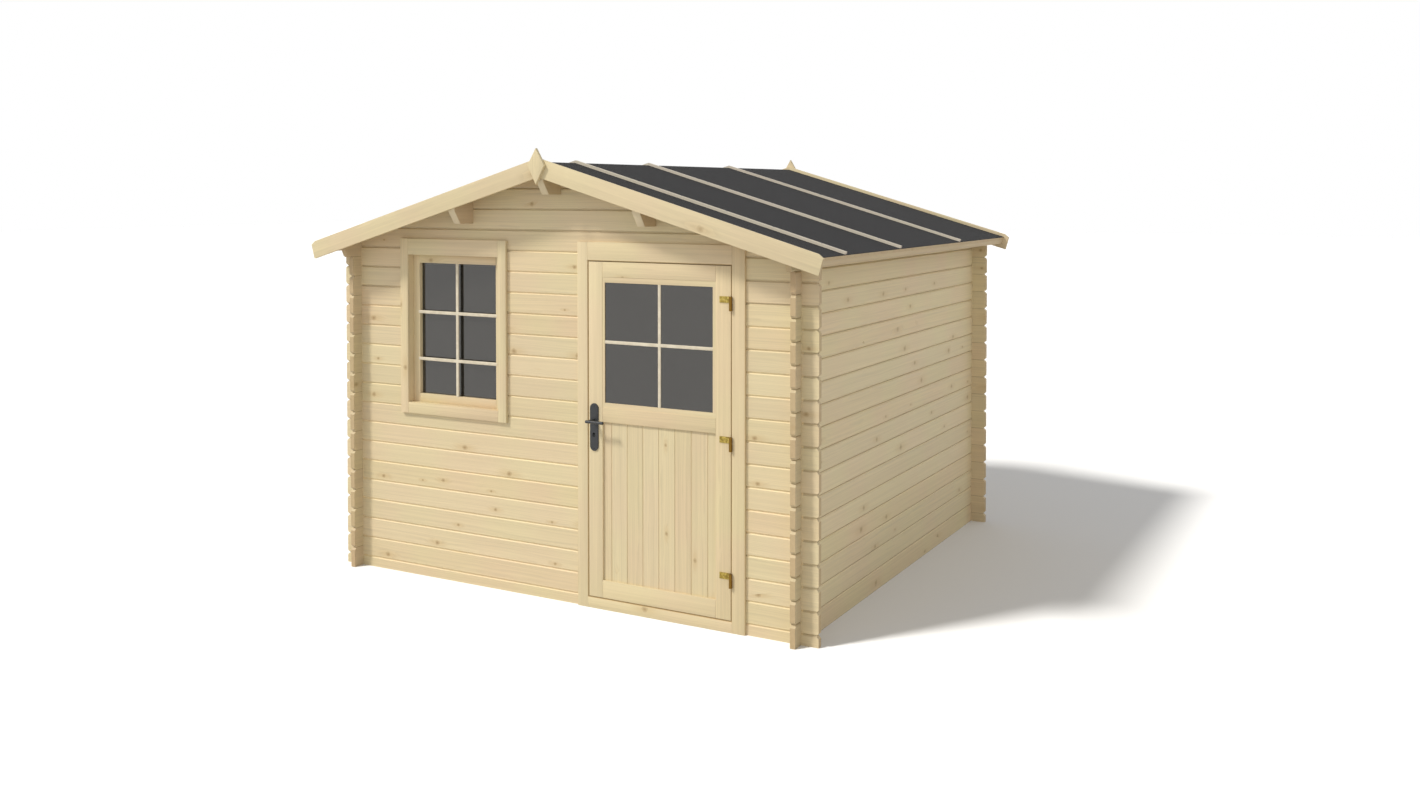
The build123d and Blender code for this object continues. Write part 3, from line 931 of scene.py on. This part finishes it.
def strip_felt():
    """Pressed brown felt, a little fluffy."""
    material, shader, place = new_finish("strip_felt", {"Specular IOR Level": 0.1})
    fluff = place.noise(place, scale=700.0, detail=3.0)
    colour = fluff.smooth(0.3, 0.7).mix(paint(170, 142, 100), paint(192, 166, 122))
    feed(shader, Base_Color=colour, Roughness=0.85 + fluff * 0.1, Normal=fluff.bump(0.4, 0.0005))
    return material


lock_stile_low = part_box("door_lock_stile")[0]
hinge_stile_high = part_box("door_hinge_stile")[1]
leaf_low = Vector((lock_stile_low.x, 0, lock_stile_low.z))
leaf_high = Vector((hinge_stile_high.x, 0, hinge_stile_high.z))
strip_free = leaf_gap - strip_wide
strip_front = door_front + strip_set
draught_strip = bead(
    "draught_strip",
    (leaf_low.x - leaf_gap, strip_front, leaf_low.z - leaf_gap),
    (leaf_high.x + leaf_gap, strip_front + strip_deep, leaf_high.z + leaf_gap),
    leaf_low - Vector((strip_free, 0, strip_free)),
    leaf_high + Vector((strip_free, 0, strip_free)),
    slope=strip_slope,
)
fit_out(draught_strip, "shed", strip_felt())
print("draught strip", [round(v, 4) for v in draught_strip.dimensions])

# %% [markdown]
# ## Door bars
#
# A thin cross of two bars lies on each face of the door's pane, so the one sheet of glass looks like four.
# They are the same kind of bar as in the window, but lower, as they must not stand past the face of the leaf.
# The cross is made on the outside, and a mirrored copy goes on the inside.

# %% Bars on the door's pane
door_bar = 0.0175
door_bar_depth = 0.0045
cross_height = 1.416
cross_aside = 0.010
cross_middle = door_pane_middle.x + cross_aside
bar_back = glass_low.y
bar_near = bar_back - door_bar_depth
cross = [
    bar(
        "door_upright_bar",
        (cross_middle - door_bar / 2, bar_near, door_pane_low.z),
        (cross_middle + door_bar / 2, bar_back, door_pane_high.z),
        bar_edge,
    ),
    bar(
        "door_level_bar",
        (door_pane_low.x, bar_near, cross_height - door_bar / 2),
        (door_pane_high.x, bar_back, cross_height + door_bar / 2),
        bar_edge,
    ),
]
outer_cross = close(unite("door_bars_outer", cross))
take(outer_cross)
bpy.ops.object.duplicate()
inner_cross = bpy.context.object
inner_cross.name = inner_cross.data.name = "door_bars_inner"
inner_cross.scale.y = -1
inner_cross.location.y = glass_low.y + glass_high.y
settle()
close(inner_cross)
for piece in (outer_cross, inner_cross):
    fit_out(piece, "door", lacquer)
    print(piece.name, [round(v, 4) for v in piece.dimensions])

# %% [markdown]
# ## Eased edges
#
# A joiner takes the sharp edge off every planed piece, so that it doesn't splinter and holds a finish. The
# small rounding catches the light, and it makes the joint between two pieces show as a fine line. The solid
# model keeps its edges sharp. Here a copy of each such piece has its points merged and its flat faces made
# whole, and then its long sharp edges are bevelled. The copy stands for the node, in the same place.

# %% Copies with eased edges
edge_ease = 0.0018
shortest_edge = 0.06
merge_reach = 0.00005
flat_angle = math.radians(1)
sharp_angle = math.radians(25)
body_of = {node: body for body, held in frame["record"]["behaviour"]["bodies"].items() for node in held}


def ease(node):
    """A copy of a solid piece with its long sharp edges taken off."""
    piece = bpy.data.objects.new(node + "_eased", nodes[node].data.copy())
    piece.data.name = piece.name
    bpy.context.scene.collection.objects.link(piece)
    take(piece)
    bpy.ops.mesh.customdata_custom_splitnormals_clear()
    pick_all(piece)
    bpy.ops.mesh.remove_doubles(threshold=merge_reach)
    bpy.ops.mesh.dissolve_limited(angle_limit=flat_angle)
    bpy.context.tool_settings.mesh_select_mode = (False, True, False)
    bpy.ops.mesh.select_all(action="DESELECT")
    bpy.ops.mesh.edges_select_sharp(sharpness=sharp_angle)
    bpy.ops.object.mode_set(mode="OBJECT")
    mesh = piece.data
    sharp = set()
    for edge in mesh.edges:
        first, second = (mesh.vertices[i].co for i in edge.vertices)
        if edge.select and (first - second).length > shortest_edge:
            sharp.add(tuple((first + second) / 2))
    pick(piece, edges=lambda middle, way: tuple(middle) in sharp)
    bpy.ops.mesh.bevel(offset=edge_ease, segments=2, affect="EDGES", clamp_overlap=True)
    close(piece)
    fit_out(piece, body_of[node], nodes[node].data.materials[0])
    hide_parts(node)
    return len(sharp)


kept_sharp = ("door_panel", "door_glass", "window_glass")
joinery = [n for n in nodes if "bargeboard" in n or "finial" in n or "purlin" in n or "sash" in n]
joinery += [n for n in nodes if n.startswith(("door_", "window_", "eaves_")) and n not in joinery]
joinery = [n for n in joinery if n not in kept_sharp]
eased_edges = {node: ease(node) for node in joinery}
print("eased", eased_edges)

# %% [markdown]
# ## Screws and nails
#
# Each hinge plate has two brass screws, each handle plate a black screw at both ends, and the battens are
# nailed down through the felt. A head is a short cylinder with a rounded rim and a sunk drive. It is modelled
# once, facing forward, and copied to its places. A ray cast onto the piece underneath finds the surface and
# which way the head has to face.

# %% One head, copied to its places
def screw_head(name, radius, height):
    """A head that faces forward, with its back at the origin."""
    clear_selection()
    bpy.ops.mesh.primitive_cylinder_add(
        vertices=16, radius=radius, depth=height, location=(0, -height / 2, 0), rotation=(math.pi / 2, 0, 0)
    )
    settle()
    head = bpy.context.object
    head.name = head.data.name = name
    pick(head, edges=lambda middle, way: middle.y < -height * 0.99)
    bpy.ops.mesh.bevel(offset=height * 0.6, segments=2, affect="EDGES")
    bpy.ops.object.mode_set(mode="OBJECT")
    pick(head, faces=lambda middle, normal: normal.y < -0.99)
    bpy.ops.mesh.inset(thickness=radius * 0.3, depth=0)
    bpy.ops.mesh.extrude_region_move(TRANSFORM_OT_translate={"value": (0, height * 0.4, 0)})
    return close(head)


def fasten(name, head, node, starts, way, body, finish):
    """Copies of a head where rays from the starts meet a node."""
    placed = []
    for start in starts:
        hit, spot, normal, _ = nodes[node].ray_cast(Vector(start), Vector(way))
        if not hit:
            raise RuntimeError("no surface for " + name)
        copy = bpy.data.objects.new(name, head.data.copy())
        bpy.context.scene.collection.objects.link(copy)
        copy.location = spot
        copy.rotation_euler = Vector((0, -1, 0)).rotation_difference(normal).to_euler()
        take(copy)
        settle()
        placed.append(copy)
    print(name, len(placed))
    return fit_out(join(name, placed), body, finish)


small_head = screw_head("small_head", 0.0032, 0.0012)
plate_head = screw_head("plate_head", 0.0038, 0.0014)
nail_head = screw_head("nail_head", 0.0035, 0.0012)

far_out = 3.0
hinge_plate_heights = (0.2844, 0.9677, 1.6689)
hinge_screw_places = (1.003, 1.033)
hinge_screws = [(x, -far_out, z) for z in hinge_plate_heights for x in hinge_screw_places]
fasten("hinge_screws", small_head, "hinge_leaves", hinge_screws, (0, 1, 0), "door", brass)

plate_low, plate_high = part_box("handle_plates")
plate_middle = (plate_low + plate_high) / 2
screw_inset = 0.014
plate_ends = (plate_low.z + screw_inset, plate_high.z - screw_inset)
for side, start_y, way_y in (("outer", -far_out, 1), ("inner", far_out, -1)):
    starts = [(plate_middle.x, start_y, z) for z in plate_ends]
    way = (0, way_y, 0)
    fasten("handle_screws_" + side, plate_head, "handle_plates", starts, way, "door", black)


def zinc():
    """Nail heads: dull grey metal with a mottled bloom."""
    material, shader, place = new_finish("nail_zinc", {"Metallic": 0.9})
    bloom = place.noise(place, scale=240.0, detail=3.0)
    colour = bloom.mix(paint(120, 122, 124), paint(168, 170, 172))
    feed(shader, Base_Color=colour, Roughness=0.4 + bloom * 0.25)
    return material


nail_finish = zinc()
batten_rows = (-1.194, -0.432, 0.594)
nails_each = 6
batten_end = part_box("roof_battens_right")[1].x
down = (0, 0, -1)
nail_places = [batten_end * (nail + 0.5) / nails_each for nail in range(nails_each)]
for side, sign in (("right", 1), ("left", -1)):
    starts = [(sign * x, row, far_out) for row in batten_rows for x in nail_places]
    battens = "roof_battens_" + side
    fasten("batten_nails_" + side, nail_head, battens, starts, down, "shed", nail_finish)
for head in (small_head, plate_head, nail_head):
    bpy.data.objects.remove(head)

# %% [markdown]
# ## Keyhole
#
# Through the keyhole in the plate the dark lock case shows, not the wood of the stile. A thin near-black disc
# with a tongue below it, the shape of the hole, lies on each face of the leaf behind the plate: the lock
# case, painted as dark as the shade deep in a keyhole. A pressed rim frames the hole on the plate itself: a
# low ring with bevelled edges and an open middle.

# %% Lock case behind the keyholes
keyhole_x, keyhole_z = plate_middle.x, 0.927
keyhole_radius = 0.0043
tongue_half, tongue_reach = 0.0019, 0.0128
case_thick = 0.001


# Near-black: the lock case, painted as dark as the shade deep in a keyhole; the rims take it too.
def lock_dark_and_hole_shade():
    material, shader, place = new_finish("lock_dark_and_hole_shade", {"Specular IOR Level": 0.2, "Metallic": 0.4})
    grease = place.noise(place, scale=900.0, detail=2.0)
    feed(shader, Base_Color=grease.mix(paint(10, 10, 10), paint(26, 25, 24)), Roughness=0.5 + grease * 0.3)
    return material


lock_finish = lock_dark_and_hole_shade()
for side, near, far in (
    ("outer", door_front - case_thick, door_front),
    ("inner", door_back, door_back + case_thick),
):
    clear_selection()
    bpy.ops.mesh.primitive_cylinder_add(
        vertices=24, radius=keyhole_radius, depth=case_thick, rotation=(math.pi / 2, 0, 0),
        location=(keyhole_x, (near + far) / 2, keyhole_z),
    )
    settle()
    disc = bpy.context.object
    tongue = start_block(
        "tongue",
        (keyhole_x - tongue_half, near, keyhole_z - tongue_reach),
        (keyhole_x + tongue_half, far, keyhole_z),
    )
    lock_case = close(unite("lock_case_" + side, [disc, tongue]))
    fit_out(lock_case, "door", lock_finish)
print("lock case behind both keyholes")

# %% Pressed rims round the keyholes
rim_radius, rim_high = 0.0082, 0.0010
rim_open = 0.0062
rim_drop = 0.004
rim_stretch = 1.35


def keyhole_rim(name, plate_y, outward):
    """A low ring on the plate, taller than it is wide, with an open middle."""
    middle_z = keyhole_z - rim_drop
    clear_selection()
    bpy.ops.mesh.primitive_cylinder_add(
        vertices=24, radius=rim_radius, depth=rim_high, rotation=(math.pi / 2, 0, 0),
        location=(keyhole_x, plate_y + outward * rim_high / 2, middle_z),
    )
    settle()
    ring = bpy.context.object
    ring.name = ring.data.name = name
    pick(ring, faces=lambda middle, normal: abs(normal.y) > 0.9)
    bpy.ops.mesh.inset(thickness=rim_radius - rim_open, depth=0)
    bpy.ops.mesh.bridge_edge_loops()
    bpy.ops.object.mode_set(mode="OBJECT")
    top = plate_y + outward * rim_high
    pick(ring, edges=lambda middle, way: abs(middle.y - top) < touching)
    bpy.ops.mesh.bevel(offset=rim_high * 0.35, segments=1, affect="EDGES")
    bpy.ops.object.mode_set(mode="OBJECT")
    pick_all(ring)
    bpy.ops.transform.resize(value=(1, 1, rim_stretch), center_override=(keyhole_x, plate_y, middle_z))
    return close(ring)


for side, plate_y, outward in (("outer", plate_low.y, -1), ("inner", plate_high.y, 1)):
    fit_out(keyhole_rim("keyhole_rim_" + side, plate_y, outward), "door", lock_finish)
print("keyhole rims", rim_high, "m high")

# %% [markdown]
# ## Lock plates
#
# When the door stands open, the edge of the leaf shows the lock's face plate, and the jamb shows the plate
# that the latch goes into. Both are thin strips of steel with rounded corners, and both lie in the gap round
# the leaf, so they stay very thin. Each has a sunk middle, which on the jamb is the pocket for the latch.

# %% Face plate and strike plate
steel_thick = 0.0006
steel_half_width = 0.010
steel_low, steel_high = 0.868, 1.058
leaf_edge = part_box("door_lock_stile")[0].x
jamb_edge = leaf_edge - leaf_gap
plate_line = (door_front + door_back) / 2
corner_round = 0.004
pocket_inset, pocket_deep = 0.004, steel_thick / 2


def steel_plate(name, low, high, pocket_side):
    """A thin plate on an upright edge, with rounded corners and a sunk middle on one side."""
    plate = start_block(name, low, high)
    pick(plate, edges=lambda middle, way: abs(way.x) > 0.9)
    bpy.ops.mesh.bevel(offset=corner_round, segments=3, affect="EDGES")
    bpy.ops.object.mode_set(mode="OBJECT")
    pick(plate, faces=lambda middle, normal: normal.x * pocket_side > 0.9)
    bpy.ops.mesh.inset(thickness=pocket_inset, depth=0)
    bpy.ops.mesh.extrude_region_move(TRANSFORM_OT_translate={"value": (-pocket_side * pocket_deep, 0, 0)})
    return close(plate)


for name, low_x, body, pocket_side in (
    ("lock_face_plate", leaf_edge - steel_thick, "door", -1),
    ("strike_plate", jamb_edge, "shed", 1),
):
    low = (low_x, plate_line - steel_half_width, steel_low)
    high = (low_x + steel_thick, plate_line + steel_half_width, steel_high)
    fit_out(steel_plate(name, low, high, pocket_side), body, nail_finish)
print("lock plates", round(steel_high - steel_low, 3), "m tall")
